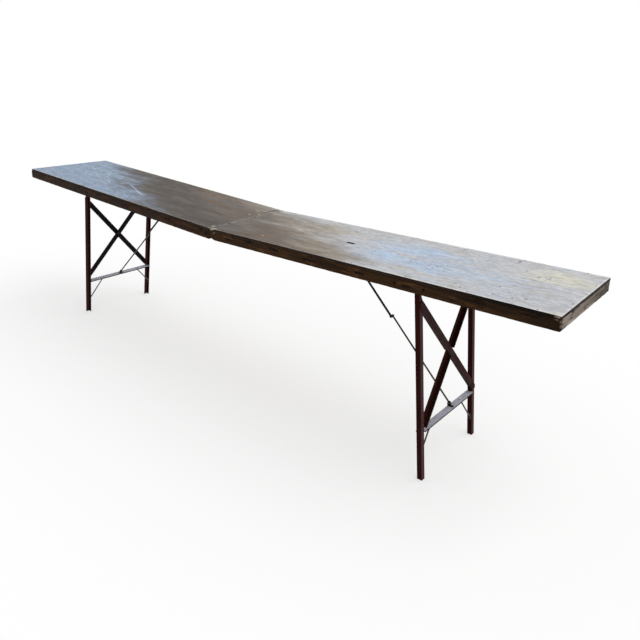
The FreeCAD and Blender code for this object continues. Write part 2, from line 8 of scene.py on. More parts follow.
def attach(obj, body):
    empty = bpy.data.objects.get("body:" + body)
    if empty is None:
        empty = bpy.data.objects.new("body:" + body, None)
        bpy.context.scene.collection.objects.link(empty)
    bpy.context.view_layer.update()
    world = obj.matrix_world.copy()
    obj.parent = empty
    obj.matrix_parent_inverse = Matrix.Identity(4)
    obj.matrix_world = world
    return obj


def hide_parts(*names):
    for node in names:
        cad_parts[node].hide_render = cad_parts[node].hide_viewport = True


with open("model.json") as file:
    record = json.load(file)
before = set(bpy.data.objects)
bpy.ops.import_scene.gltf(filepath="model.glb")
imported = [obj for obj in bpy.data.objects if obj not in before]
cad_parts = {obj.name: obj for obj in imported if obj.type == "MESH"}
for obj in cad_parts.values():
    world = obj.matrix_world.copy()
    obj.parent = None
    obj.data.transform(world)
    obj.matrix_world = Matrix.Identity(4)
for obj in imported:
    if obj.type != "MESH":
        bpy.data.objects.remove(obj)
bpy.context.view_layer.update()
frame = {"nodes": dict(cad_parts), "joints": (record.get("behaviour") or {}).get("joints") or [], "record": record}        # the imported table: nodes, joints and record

bl_info = {
    "name": "Folding trestle table",
    "version": (1, 0, 0),
    "blender": (4, 5, 0),
    "location": "View3D > Sidebar > Table",
    "description": "Dresses a worn folding trestle table with boards, rails, painted iron and a plain stage",
    "category": "Object",
}

SIDES = {"left": -1.0, "right": 1.0}
JOINTS = {joint["name"]: joint for joint in frame["joints"]}
MOUNTS = {mount["name"]: mount for mount in frame["record"]["mounts"]}
PIN_HEIGHT = JOINTS["centre_fold"]["pos_m"][2]
TOP_NORMAL = Vector(MOUNTS["right_top"]["axis"])
SAG = math.atan2(-TOP_NORMAL.x, TOP_NORMAL.z)
MM = 0.001
ALONG, ACROSS, UP = range(3)
WHITE = (1.0, 1.0, 1.0, 1.0)


def leaf_point(side, point):
    """A point of the table in the frame of a leaf: X from the hinge pin outward, Z square to the board."""
    x = SIDES[side] * point.x
    z = point.z - PIN_HEIGHT
    return Vector((
        x * math.cos(SAG) + z * math.sin(SAG), point.y, z * math.cos(SAG) - x * math.sin(SAG)
    ))


def table_point(side, point):
    """A point of a leaf's own frame in the table's frame."""
    x = point.x * math.cos(SAG) - point.z * math.sin(SAG)
    z = point.x * math.sin(SAG) + point.z * math.cos(SAG)
    return Vector((SIDES[side] * x, point.y, PIN_HEIGHT + z))


def leaf_box(side, node):
    """Lowest and highest corner of a node in the frame of its leaf."""
    points = [leaf_point(side, vertex.co) for vertex in frame["nodes"][node].data.vertices]
    low = Vector(min(point[axis] for point in points) for axis in range(3))
    high = Vector(max(point[axis] for point in points) for axis in range(3))
    return low, high


LEAF_LENGTH = leaf_box("right", "right_board")[1].x
HALF_WIDTH = leaf_box("right", "right_board")[1].y


def hex_colour(code):
    """Linear colour of an sRGB hex value."""
    channels = [int(code[i:i + 2], 16) / 255 for i in (1, 3, 5)]
    linear = [c / 12.92 if c <= 0.04045 else ((c + 0.055) / 1.055) ** 2.4 for c in channels]
    return (*linear, 1.0)


class TableSizes(bpy.types.PropertyGroup):
    """Wear and old damage of the leaves."""

    edge_wear: bpy.props.FloatProperty(
        name="Edge wear", description="Mean rounding of the worn board edges",
        default=1.6 * MM, unit="LENGTH")
    rail_wear: bpy.props.FloatProperty(
        name="Rail wear", description="Mean rounding of the rails' edges",
        default=2.2 * MM, unit="LENGTH")
    surface_dip: bpy.props.FloatProperty(
        name="Surface dip", description="How far worn faces lie below their nails",
        default=0.5 * MM, unit="LENGTH")
    joint_wear: bpy.props.FloatProperty(
        name="Joint wear", description="How far the boards are broken back at the joint",
        default=5 * MM, unit="LENGTH")
    slot_place: bpy.props.FloatVectorProperty(
        name="Slot place", description="Middle of the slot in the right top, from the hinge pin",
        default=(598 * MM, -15 * MM), size=2, unit="LENGTH")
    slot_size: bpy.props.FloatVectorProperty(
        name="Slot size", description="Length, width and depth of the slot",
        default=(38 * MM, 15 * MM, 5 * MM), size=3, unit="LENGTH")
    worn_corner: bpy.props.FloatVectorProperty(
        name="Worn corner", description="Length and height worn off the right front rail at the joint",
        default=(28 * MM, 14 * MM), size=2, unit="LENGTH")


class TableColours(bpy.types.PropertyGroup):
    """Main colours of the table."""

    varnish: bpy.props.FloatVectorProperty(
        name="Top varnish", description="Brown varnish of the top",
        default=hex_colour("#5f554d"), size=4, subtype="COLOR")
    # The pale top is weathered varnish with painted sky reflection in its colour
    bloom: bpy.props.FloatVectorProperty(
        name="Bleached top", description="Weathered pale top of the right leaf",
        default=hex_colour("#c3c6cc"), size=4, subtype="COLOR")
    # The bluish top is painted sky reflection
    sky_reflection_blue: bpy.props.FloatVectorProperty(
        name="Bluish top", description="Bluish bloom on the varnish of the top",
        default=hex_colour("#adcaeb"), size=4, subtype="COLOR")
    # The rails' colour is a dark stain with painted shade of the backlit rails in it
    rail: bpy.props.FloatVectorProperty(
        name="Rails", description="Dark stain of the rails",
        default=hex_colour("#39250f"), size=4, subtype="COLOR")
    bearer: bpy.props.FloatVectorProperty(
        name="Bearers", description="Raw wood under the boards",
        default=hex_colour("#8a6a48"), size=4, subtype="COLOR")
    paint: bpy.props.FloatVectorProperty(
        name="Iron paint", description="Oxide red paint of the trestles",
        default=hex_colour("#280704"), size=4, subtype="COLOR")
    steel: bpy.props.FloatVectorProperty(
        name="Fittings", description="Tarnished steel of the fittings",
        default=hex_colour("#4c4845"), size=4, subtype="COLOR")


# Nodes and masks

SMOOTH = {"interpolation_type": "SMOOTHSTEP"}      # soft borders of a mask
PATTERN_ROUGHNESS = 0.6      # how strongly the fine detail of a pattern shows
RELIEF_STRENGTH = 0.5
FAR = 100.0      # reach of a mark, in metres, along the axis that it goes through


def add(tree, kind, inputs=None, out=0, **settings):
    """Adds a node with its settings and inputs, values or sockets, and gives back one of its outputs."""
    node = tree.nodes.new("ShaderNode" + kind)
    for key, value in settings.items():
        setattr(node, key, value)
    for key, value in (inputs or {}).items():
        if isinstance(value, bpy.types.NodeSocket):
            tree.links.new(value, node.inputs[key])
        else:
            node.inputs[key].default_value = value
    return node.outputs[out] if len(node.outputs) else None


def new_material(name):
    """An empty material, its nodes and the coordinates of the table's frame in metres."""
    material = bpy.data.materials.new(name)
    material.use_nodes = True
    tree = material.node_tree
    tree.nodes.clear()
    return material, tree, add(tree, "TexCoord", out="Object")


def finish(tree, colour, height, depth, roughness=0.6, gloss=0.06, metallic=0.0):
    """Ends a material with its shader, whose relief has a real depth in millimetres, and its output."""
    normal = add(tree, "Bump", {"Height": height, "Distance": depth * MM, "Strength": RELIEF_STRENGTH})
    surface = add(tree, "BsdfPrincipled", {
        "Base Color": colour, "Roughness": roughness, "Metallic": metallic,
        "Specular IOR Level": gloss, "Normal": normal,
    })
    add(tree, "OutputMaterial", {"Surface": surface})


def grained(along, length, width):
    """Size of a pattern that runs with the grain, in millimetres along X, Y and Z."""
    return tuple(length if axis == along else width for axis in range(3))


def patches(tree, place, size, levels, span=(0.0, 1.0), detail=5.0):
    """Mask of uneven patches of a real size in millimetres along X, Y and Z.

    Between two levels of the pattern, it goes from the first value of its span to the second.
    """
    per_metre = tuple(1.0 / (length * MM) for length in size)
    scaled = add(tree, "Mapping", {"Vector": place, "Scale": per_metre})
    pattern = add(tree, "TexNoise", {
        "Vector": scaled, "Scale": 1.0, "Detail": detail, "Roughness": PATTERN_ROUGHNESS})
    return add(tree, "MapRange", {
        "Value": pattern, "From Min": levels[0], "From Max": levels[1],
        "To Min": span[0], "To Max": span[1],
    }, **SMOOTH)


def stretch(tree, vector, axis, start, full, strength=1.0, mirrored=False):
    """Mask along one axis: nothing at its start, and its strength where it is full and beyond."""
    value = add(tree, "SeparateXYZ", {0: vector}, axis)
    if mirrored:
        value = add(tree, "Math", {0: value}, operation="ABSOLUTE")
    return add(tree, "MapRange", {
        "Value": value, "From Min": start, "From Max": full, "To Max": strength}, **SMOOTH)


def marks(tree, place, spots, ragged, full, strength, through=UP):
    """Mask of marks with ragged borders that go through the wood along one axis.

    A mark has its middle along the two other axes, its half length and half width in millimetres and its
    turn in degrees. It has its full strength within the given share of its reach.
    """
    first, second = [axis for axis in range(3) if axis != through]
    total = 0.0
    for along, across, length, width, turn in spots:
        middle = [0.0] * 3
        middle[first] = along * MM
        middle[second] = across * MM
        reach = [FAR] * 3
        reach[first] = length * MM
        reach[second] = width * MM
        angle = [0.0] * 3
        angle[through] = math.radians(turn)
        local = add(tree, "Mapping", {
            "Vector": place, "Location": middle, "Rotation": angle, "Scale": reach}, vector_type="TEXTURE")
        away = add(tree, "VectorMath", {0: local}, "Value", operation="LENGTH")
        edge = add(tree, "Math", {0: away, 1: ragged}, operation="ADD")
        one = add(tree, "MapRange", {
            "Value": edge, "From Min": 1.0, "From Max": full, "To Max": strength}, **SMOOTH)
        total = add(tree, "Math", {0: total, 1: one}, operation="MAXIMUM")
    return total


def coats(tree, colour, *layers):
    """Lays colours over each other, each as thick as its mask says."""
    for mask, over in layers:
        colour = add(tree, "Mix", {0: mask, 6: colour, 7: over}, 2, data_type="RGBA")
    return colour


# Zones of the top follow each other along X plus a multiple of Y, so that their borders run slantwise
BORDER_SLANT = (1.0, 1.6, 0.0)
# Place on that slant, in metres, where a zone begins, place where it is full, and its strength there
TOP_ZONES = {
    # The blooms are weathered varnish and painted sky reflection; the left blue is painted sky reflection
    "left_bloom_and_sheen": (-0.66, -1.2, 0.5),
    "right_bloom_and_sheen": (-0.06, 0.76, 0.98),
    # Makes the left leaf darker, from the joint outward
    "left_darker": (-0.05, -0.45, 0.75),
    "right_tan": (0.62, 0.2, 0.8),
    "left_sky_reflection": (-0.2, -0.6, 1.0),
}
# Marks on the top: middle X and Y, half length, half width, turn
PALE_SCRATCHES = (
    (-760, -70, 150, 2.6, -20), (-700, -97, 105, 2.4, -19), (-1210, -60, 24, 3.0, -2),
    (-1208, -17, 22, 3.2, -16), (-1133, -52, 20, 3.0, 19), (-1086, -26, 66, 2.6, -23),
    (-1246, 115, 38, 2.6, 10), (-1035, 14, 36, 2.8, 81), (-930, -37, 38, 3.0, 79),
    (-845, -37, 38, 2.4, -17), (-783, -28, 16, 2.4, 22), (-1337, 56, 39, 2.6, 49),
    (-896, -127, 32, 2.6, 39), (-795, -150, 37, 2.4, 27), (-1160, 30, 46, 2.4, -30),
    (-1010, -70, 52, 2.2, -26), (-975, 35, 40, 2.4, 60), (-1110, -110, 34, 2.4, 35),
    (-1290, -40, 42, 2.4, -35), (-1060, 60, 36, 2.4, 74),
)
PAINT_SPOTS = (
    (308, 8, 13, 10, 0), (258, -171, 8, 6, 0), (195, 47, 8, 5, 20), (-55, 60, 10, 6, 0),
    (-70, 130, 14, 6, 50), (24, 226, 24, 10, 4), (22, -232, 26, 10, 6), (470, 120, 8, 4, 30),
    (-22, 89, 12, 9, 30), (-12, -205, 14, 6, 70), (1508, -226, 24, 13, 30), (1480, -236, 30, 6, 0),
)
DARK_MARKS = (
    (598, -15, 27, 11, 0), (667, 157, 18, 2.4, 40), (1214, 201, 6, 12, -12), (540, -13, 34, 2.6, 2),
    (910, -70, 5, 4, 0), (945, -76, 6, 3.5, 20), (985, -66, 4, 5, 0), (1012, -60, 5, 4, 0),
    (1060, -95, 4, 5, 0), (1335, 70, 7, 4, 25), (1368, 92, 6, 5, 0), (1372, 72, 7, 3, 40),
    (1290, -195, 7, 4, 10), (1385, -170, 9, 4, 15), (1350, -190, 6, 5, 0), (1150, -185, 8, 4, 30),
    (1180, -205, 5, 4, 0), (760, 190, 20, 2.5, 0), (985, 215, 16, 3.5, -10), (505, 150, 16, 2.2, 8),
    (830, -20, 4, 4, 0), (-29, 176, 66, 11, 90), (-26, 210, 26, 12, 80),
)
GREY_PATCH = ((165, -45, 120, 70, 15), (60, 40, 60, 60, 0))
# Painted sky reflection: bluish patches on the top
SKY_REFLECTION_PATCH = ((960, -72, 430, 120, 3), (800, -60, 210, 110, -6), (890, 70, 270, 120, 0))
TAN_PATCH = ((390, 105, 300, 130, 4),)
# Painted highlight: a cream patch on the top
PAINTED_HIGHLIGHT_PATCH = ((1405, 100, 220, 120, 6),)
PITTED = ((985, -50, 210, 90, 0), (1330, -165, 110, 60, 0), (1345, 75, 90, 60, 0))
# Knots and holes in the long rails: middle X and Z, half length, half height, turn
RAIL_KNOTS = (
    (-1031, 749, 8, 8, 0), (-53, 714, 15, 10, 0), (-19, 707, 20, 14, 0), (240, 722, 32, 9, 0),
    (383, 722, 44, 7, 0), (800, 726, 34, 8, 0), (120, 705, 34, 6, 0), (560, 719, 56, 6, 0),
    (1000, 730, 30, 7, 0), (1250, 746, 70, 5, 0), (1425, 752, 46, 7, 0), (-300, 717, 46, 6, 0),
    (-620, 723, 40, 6, 0), (-850, 736, 34, 7, 0),
)
# Pale broken fibres on the edges of the right leaf: middle X and Z, half length, half height, turn
SPLINTERS = (
    (16, 728, 18, 4, -12), (30, 716, 16, 3, -30), (1511, 771, 12, 4, 0), (1521, 758, 4, 9, 0),
    (1522, 744, 3, 9, 0), (1508, 762, 9, 2.5, 0),
)
# Holes in the end rails: middle Y and Z, half length, half height, turn
END_HOLES = ((-20, 738, 11, 10, 20), (95, 752, 9, 6, 0), (-150, 744, 14, 5, 0), (190, 757, 16, 6, 0))
# Stretches that are darkest: axis, start and full in metres, strength
RAIL_DARK = ("X", 1.0, 1.4, 0.5)
END_DARK = ("Y", -0.05, 0.19, 0.62)


# Finish of the top

def top_zones(tree, place):
    """Masks of the top's zones, with borders that run slantwise over the boards and drift."""
    slant = add(tree, "VectorMath", {0: place, 1: BORDER_SLANT}, "Value", operation="DOT_PRODUCT")
    drift = patches(tree, place, (260, 70, 70), (0.2, 0.8), (-0.2, 0.2))
    border = add(tree, "Math", {0: slant, 1: drift}, operation="ADD")
    zones = {}
    for name, (start, full, strength) in TOP_ZONES.items():
        zones[name] = add(tree, "MapRange", {
            "Value": border, "From Min": start, "From Max": full, "To Max": strength}, **SMOOTH)
    return zones


def brown_varnish(tree, place, tone_shift, cloud):
    """Varnish that is left on the top: dark and light streaks, grey places, and a darker zone on the left
    leaf.
    """
    return coats(
        tree, tuple(bpy.context.scene.table_colours.varnish),
        (patches(tree, place, (120, 13, 13), (0.42, 0.68), (0.0, 0.6), 7.0), hex_colour("#41382f")),
        (patches(tree, place, (170, 45, 45), (0.42, 0.7), (0.0, 0.7)), hex_colour("#7d6751")),
        (patches(tree, place, (90, 30, 30), (0.55, 0.75), (0.0, 0.35)), hex_colour("#6f6f70")),
        (marks(tree, place, GREY_PATCH, cloud, full=0.0, strength=0.5), hex_colour("#4b4b4d")),
        (tone_shift, hex_colour("#3a332d")),
    )


def pale_bloom_and_painted_sheen(tree, place, zones, cloud):
    """Pale top, weathered and with painted sky reflection: grey and bluish clouds, tan beside the varnish,
    and patches of tan, of blue painted reflection and of cream painted highlight.
    """
    colours = bpy.context.scene.table_colours
    blue = tuple(colours.sky_reflection_blue)
    return coats(
        tree, tuple(colours.bloom),
        (patches(tree, place, (210, 60, 60), (0.45, 0.7), (0.0, 0.6)), hex_colour("#b9b2ab")),
        (patches(tree, place, (140, 50, 50), (0.5, 0.75), (0.0, 0.6)), hex_colour("#b3bccb")),
        (zones["right_tan"], hex_colour("#bfb6a3")),
        (zones["left_sky_reflection"], blue),
        (marks(tree, place, TAN_PATCH, cloud, full=0.0, strength=0.7), hex_colour("#a89c85")),
        (marks(tree, place, SKY_REFLECTION_PATCH, cloud, full=0.0, strength=0.65), blue),
        (marks(tree, place, PAINTED_HIGHLIGHT_PATCH, cloud, full=0.0, strength=0.85), hex_colour("#dcd8c6")),
    )


def worn_rims(tree, place, bloom):
    """Coats on the rim of the top, which is rubbed, and along the joint, which is chipped."""
    rim = stretch(tree, place, "Y", HALF_WIDTH - 15 * MM, HALF_WIDTH - 4 * MM, mirrored=True)
    end = stretch(tree, place, "X", LEAF_LENGTH - 14 * MM, LEAF_LENGTH - 4 * MM, mirrored=True)
    joint = stretch(tree, place, "X", 13 * MM, 4 * MM, strength=0.8, mirrored=True)
    broken = patches(tree, place, (24, 13, 13), (0.36, 0.58), (0.1, 0.9))
    edges = add(tree, "Math", {0: rim, 1: end}, operation="MAXIMUM")
    rubbed = add(tree, "Math", {0: edges, 1: broken}, operation="MULTIPLY")
    chipped = add(tree, "Math", {0: joint, 1: broken}, operation="MULTIPLY")
    rubbed_colour = coats(tree, hex_colour("#7b7167"), (bloom, hex_colour("#dadbd9")))
    return (rubbed, rubbed_colour), (chipped, hex_colour("#93958b"))


def varnished_top():
    """Old varnished pine top: brown satin varnish, weathered to a pale grey-blue bloom towards the ends,
    which is partly painted sky reflection.
    """
    material, tree, place = new_material("varnished_pine_top")
    zones = top_zones(tree, place)
    cloud = patches(tree, place, (120, 34, 34), (0.2, 0.8), (-0.45, 0.45))
    ragged = patches(tree, place, (7, 5, 5), (0.2, 0.8), (-0.35, 0.35), 3.0)
    # The pale bloom is weathering and painted sky reflection
    bloom = add(tree, "Math", {0: zones["left_bloom_and_sheen"], 1: zones["right_bloom_and_sheen"]}, operation="MAXIMUM")
    grain = patches(tree, place, (70, 8, 8), (0.3, 0.7), (0.78, 1.1), 7.0)
    worn = add(tree, "Math", {0: bloom, 1: grain}, operation="MULTIPLY", use_clamp=True)
    # Pale scuffs in the left bloom, tinted sky blue as painted reflection
    scuffs = patches(tree, place, (36, 9, 9), (0.48, 0.7), (0.0, 0.9), 6.0)
    scuffs_with_painted_sheen = add(tree, "Math", {0: scuffs, 1: zones["left_bloom_and_sheen"]}, operation="MULTIPLY")
    pits = patches(tree, place, (9, 7, 7), (0.55, 0.66), detail=2.0)
    pit_field = marks(tree, place, PITTED, cloud, full=0.0, strength=0.75)
    pitted = add(tree, "Math", {0: pits, 1: pit_field}, operation="MULTIPLY")
    wood = coats(
        tree, brown_varnish(tree, place, zones["left_darker"], cloud),
        (worn, pale_bloom_and_painted_sheen(tree, place, zones, cloud)),
        (scuffs_with_painted_sheen, hex_colour("#bad1ea")),
        (patches(tree, place, (34, 6, 6), (0.55, 0.72), (0.0, 0.6)), hex_colour("#4a433d")),
        (pitted, hex_colour("#667080")),
        *worn_rims(tree, place, bloom),
        # Pale scratches, tinted sky blue as painted reflection
        (marks(tree, place, PALE_SCRATCHES, ragged, full=0.45, strength=0.8), hex_colour("#c3d1e6")),
        (marks(tree, place, PAINT_SPOTS, ragged, full=0.2, strength=0.7), hex_colour("#d2ccbb")),
        (patches(tree, place, (11, 7, 7), (0.68, 0.76), (0.0, 0.5), 3.0), hex_colour("#bab7aa")),
        (patches(tree, place, (15, 5, 5), (0.66, 0.75), (0.0, 0.75), 3.0), hex_colour("#3a3735")),
        (marks(tree, place, DARK_MARKS, ragged, full=0.45, strength=0.85), hex_colour("#2b2725")),
    )
    # Pine fibres are under a millimetre wide: drawn four times as wide, so that they show
    fibre = patches(tree, place, (18, 3.2, 3.2), (0.25, 0.75), (0.8, 1.16), 4.0)
    mottled = patches(tree, place, (42, 17, 17), (0.3, 0.7), (0.88, 1.1), 6.0)
    shade = add(tree, "Math", {0: fibre, 1: mottled}, operation="MULTIPLY")
    wood = add(tree, "Mix", {0: 1.0, 6: wood, 7: shade}, 2, data_type="RGBA", blend_type="MULTIPLY")
    satin = patches(tree, place, (180, 45, 45), (0.3, 0.7), (0.42, 0.6))
    finish(tree, wood, fibre, depth=0.3, roughness=satin, gloss=0.18)
    return material


def black_slot():
    """Inside of the slot in the top: wood nearly black, which shows no shine."""
    material, tree, place = new_material("slot_black_wood")
    tone_shift = patches(tree, place, (6, 3, 3), (0.4, 0.7))
    black = coats(tree, hex_colour("#060504"), (tone_shift, hex_colour("#120e0b")))
    finish(tree, black, tone_shift, depth=0.6, roughness=0.9, gloss=0.0)
    return material


def board_edge():
    """Edge of the sheet: nearly black, with thin plies and pale broken fibres."""
    material, tree, place = new_material("near_black_sheet_edge")
    black = hex_colour("#0b0705")
    plies = patches(tree, place, (300, 300, 2.5), (0.4, 0.62), detail=3.0)
    ragged = patches(tree, place, (9, 9, 4), (0.2, 0.8), (-0.4, 0.4), 3.0)
    wood = coats(
        tree, hex_colour("#1a110b"), (plies, hex_colour("#2f221a")),
        (patches(tree, place, (90, 90, 8), (0.58, 0.72), (0.0, 0.6)), hex_colour("#54412d")),
        (patches(tree, place, (50, 50, 12), (0.6, 0.7), (0.0, 0.9)), black),
        (stretch(tree, place, "X", start=1.16, full=1.36, strength=0.85), black),
        (marks(tree, place, SPLINTERS, ragged, 0.3, 0.8, through=ACROSS), hex_colour("#a89f8d")),
    )
    finish(tree, wood, plies, depth=1.0, roughness=0.65)
    return material


# Finish of the wood under the boards

def stained_rail(name, along, base, streak, patch, dark, holes, splinters=()):
    """Softwood stained dark: long grain, darker knots, places where the stain is rubbed off, and painted
    shade towards the left.
    """
    material, tree, place = new_material(name)
    through = ACROSS if along == ALONG else ALONG
    grain = patches(tree, place, grained(along, 260, 5), (0.32, 0.68), detail=6.0)
    ragged = patches(tree, place, (9, 9, 5), (0.2, 0.8), (-0.4, 0.4), 3.0)
    knots = patches(tree, place, grained(along, 46, 15), (0.6, 0.69), (0.0, 0.95), 3.0)
    layers = [
        (grain, base),
        (patches(tree, place, grained(along, 120, 20), (0.5, 0.68), (0.0, 0.75)), patch),
        # Painted shade: darker towards the left
        (stretch(tree, place, "X", start=0.1, full=-0.5, strength=0.5), hex_colour("#221817")),
        (stretch(tree, place, *dark), hex_colour("#120b07")),
        (knots, hex_colour("#0b0604")),
        (marks(tree, place, holes, ragged, 0.35, 0.92, through), hex_colour("#0a0605")),
    ]
    if splinters:
        layers.append((marks(tree, place, splinters, ragged, 0.3, 0.75, through), hex_colour("#776c59")))
    finish(tree, coats(tree, streak, *layers), grain, depth=0.8)
    return material


def dark_rail():
    """Long rails: a dark brown stain with painted shade, nearly black at the right end, with a few splinters.
    """
    stain = tuple(bpy.context.scene.table_colours.rail)
    return stained_rail(
        "stained_pine_rail", ALONG, stain, hex_colour("#20140b"), hex_colour("#5b3b1d"),
        RAIL_DARK, RAIL_KNOTS, SPLINTERS)


def weathered_end():
    """Ends of the table: the stain is washed out to a grey brown, and the grain stands out."""
    return stained_rail(
        "weathered_pine_end", ACROSS, hex_colour("#82766b"), hex_colour("#4b4138"), hex_colour("#a89c92"),
        END_DARK, END_HOLES)


def rough_pine(name, along):
    """Rough-sawn pine under the table: pale brown and dusty, with open grain along one axis."""
    material, tree, place = new_material(name)
    grain = patches(tree, place, grained(along, 380, 7), (0.3, 0.7), detail=6.0)
    wood = coats(
        tree, hex_colour("#5a4029"), (grain, tuple(bpy.context.scene.table_colours.bearer)),
        (patches(tree, place, (90, 90, 90), (0.5, 0.75), (0.0, 0.5)), hex_colour("#4a3d31")),
    )
    finish(tree, wood, grain, depth=0.6, roughness=0.8, gloss=0.2)
    return material


# Finish of the iron and steel

def painted_iron(name, base, greasy, worn, rubbed, painted_lit_facing):
    """Iron brushed with paint: greasy patches, worn corners, and painted light, which makes the sides that
    face one way paler.
    """
    material, tree, place = new_material(name)
    stains = patches(tree, place, (60, 60, 110), (0.42, 0.66))
    specks = patches(tree, place, (9, 9, 14), (0.36, 0.74))
    bare_specks = patches(tree, place, (8, 8, 12), (0.64, 0.76), (0.0, 0.4))
    # Close to a corner, the rounded normal leans away from the face's own
    rounded = add(tree, "Bevel", {"Radius": 2.0 * MM}, samples=4)
    face = add(tree, "NewGeometry", out="True Normal")
    agreement = add(tree, "VectorMath", {0: rounded, 1: face}, "Value", operation="DOT_PRODUCT")
    corner = add(tree, "MapRange", {
        "Value": agreement, "From Min": 0.99, "From Max": 0.8, "To Max": 0.7}, **SMOOTH)
    bare_corner = add(tree, "Math", {0: corner, 1: specks}, operation="MULTIPLY")
    # Painted light: the faces that look along one axis take the rubbed colour, as if lit
    side = stretch(tree, add(tree, "TexCoord", out="Normal"), painted_lit_facing, start=0.6, full=0.85)
    uneven = patches(tree, place, (25, 25, 70), (0.25, 0.75), (0.65, 1.0))
    painted_lit_side = add(tree, "Math", {0: side, 1: uneven}, operation="MULTIPLY")
    paint = coats(
        tree, base, (stains, hex_colour(greasy)), (painted_lit_side, hex_colour(rubbed)),
        (bare_specks, hex_colour(worn)), (bare_corner, hex_colour(worn)),
    )
    satin = patches(tree, place, (60, 60, 110), (0.3, 0.7), (0.42, 0.62))
    finish(tree, paint, specks, depth=0.25, roughness=satin, gloss=0.04)
    return material


def tarnished_steel(name, tint, rust):
    """Bare mild steel fittings gone dull: grey metal with brown tarnish in patches."""
    material, tree, place = new_material(name)
    spot = (12, 12, 12)
    tarnish = patches(tree, place, spot, (0.45, 0.65))
    bare = patches(tree, place, spot, (0.45, 0.65), (0.85, 0.2))
    dull = patches(tree, place, spot, (0.3, 0.7), (0.38, 0.65))
    metal = coats(tree, tint, (tarnish, hex_colour(rust)))
    finish(tree, metal, tarnish, depth=0.16, roughness=dull, gloss=0.5, metallic=bare)
    return material


# Worn wooden pieces

TOP_FACE, SIDE_FACE, UNDER_FACE, END_FACE, SLOT_FACE = range(5)      # material slots of a board
EDGE_LINES = (0.0, 0.25, 0.55, 1.0, 1.8)      # mesh lines beside an edge, in widest roundings
WIDEST_WEAR = 2.2      # widest rounding of an edge without a chip, in mean roundings
LEAST_WEAR = 0.35      # least rounding of an edge, in mean roundings
WEAR_SPREAD = 0.9      # how far the rounding varies about its mean
ROUND_SHARE = 0.48      # largest rounding, as a share of the thinnest side
LEAST_SIDE = 5      # a side is at least this many widest roundings long
DIP_MEAN = 0.6      # mean dip of a face, as a share of the deepest
DIP_SPREAD = 0.4      # how far the dip varies about its mean
EDGE_WAVES = 45.0      # unevenness of the edges, per metre
FACE_WAVES = 30.0      # unevenness of the faces, per metre
JOINT_WAVES = 38.0      # splinters along the joint, per metre
FRACTAL = (1.0, 2.0, 3)      # smoothness, step between octaves and number of octaves of unevenness
BOARD_GRID = (12 * MM, 8 * MM, 3 * MM)      # mesh steps along, across and up
RAIL_GRID = (10 * MM, 6 * MM, 5 * MM)
CROSS_GRID = (9 * MM, 12 * MM, 6 * MM)


def grid_lines(low, high, wear, step):
    """Places of the mesh lines along one axis: close together at both ends, where the edges are round."""
    near = [share * wear for share in EDGE_LINES]
    start = low + near[-1]
    count = max(1, round((high - low - 2 * near[-1]) / step))
    pitch = (high - low - 2 * near[-1]) / count
    middle = [start + index * pitch for index in range(1, count)]
    return [low + gap for gap in near] + middle + [high - gap for gap in reversed(near)]


def rounded_point(point, low, high, radius):
    """Moves a point on the surface of a box onto the same box with round edges."""
    inner = Vector(min(max(point[i], low[i] + radius), high[i] - radius) for i in range(3))
    away = point - inner
    return inner + away.normalized() * radius if away.length > 0 else point


def worn_radius(point, mean, chips):
    """Rounding of the nearest edge: uneven along the edge, and larger in a chip."""
    uneven = noise.fractal(point * EDGE_WAVES, *FRACTAL)
    radius = mean * max(LEAST_WEAR, 1.0 + WEAR_SPREAD * uneven)
    for centre, reach, depth in chips:
        radius += depth * math.exp(-((point - centre).length / reach) ** 2)
    return radius


def block_faces(counts):
    """Faces of a box's grid: the axis that each looks along, its end of that axis and its four cells."""
    for axis in range(3):
        first, second = [i for i in range(3) if i != axis]
        for end in (0, counts[axis]):
            for a in range(counts[first]):
                for b in range(counts[second]):
                    cells = []
                    for step_a, step_b in ((0, 0), (1, 0), (1, 1), (0, 1)):
                        cell = [end] * 3
                        cell[first] = a + step_a
                        cell[second] = b + step_b
                        cells.append(tuple(cell))
                    yield axis, end, cells


def face_kind(axis, end):
    """Material slot of a face of a block."""
    if axis == UP:
        return TOP_FACE if end else UNDER_FACE
    return SIDE_FACE if axis == ACROSS else END_FACE


def worn_block(name, side, node, mean, steps, chips=(), shape=None):
    """Mesh of a wooden member: its own box with worn, uneven edges and faces that dip a little.

    A chip has its middle, its reach and its depth. A shape moves the points once more, within the box.
    """
    low, high = leaf_box(side, node)
    dip = bpy.context.scene.table_sizes.surface_dip
    lengths = [high[i] - low[i] for i in range(3)]
    widest = [min(mean * WIDEST_WEAR, length / LEAST_SIDE) for length in lengths]
    lines = [grid_lines(low[i], high[i], widest[i], steps[i]) for i in range(3)]
    counts = [len(line) - 1 for line in lines]
    limit = min(lengths) * ROUND_SHARE
    index_of = {}
    points = []

    def vertex(cell):
        """Number of a cell's point, which is made when it is first asked for."""
        if cell not in index_of:
            place = Vector(lines[i][cell[i]] for i in range(3))
            radius = min(limit, worn_radius(place, mean, chips))
            moved = rounded_point(place, low, high, radius)
            for i in range(3):
                if cell[i] in (0, counts[i]):
                    inward = 1.0 if cell[i] == 0 else -1.0
                    moved[i] += inward * dip * (DIP_MEAN + DIP_SPREAD * noise.noise(place * FACE_WAVES))
            if shape:
                moved = shape(moved, low)
            index_of[cell] = len(points)
            points.append(table_point(side, moved))
        return index_of[cell]

    faces = []
    kinds = []
    for axis, end, cells in block_faces(counts):
        corners = [vertex(cell) for cell in cells]
        outward = (end > 0) == (axis != ACROSS)
        if outward == (side == "left"):
            corners.reverse()
        faces.append(corners)
        kinds.append(face_kind(axis, end))
    mesh = bpy.data.meshes.new(name)
    mesh.from_pydata(points, [], faces)
    mesh.polygons.foreach_set("material_index", kinds)
    mesh.polygons.foreach_set("use_smooth", [True] * len(faces))
    mesh.update()
    piece = bpy.data.objects.new(name, mesh)
    bpy.context.scene.collection.objects.link(piece)
    return piece


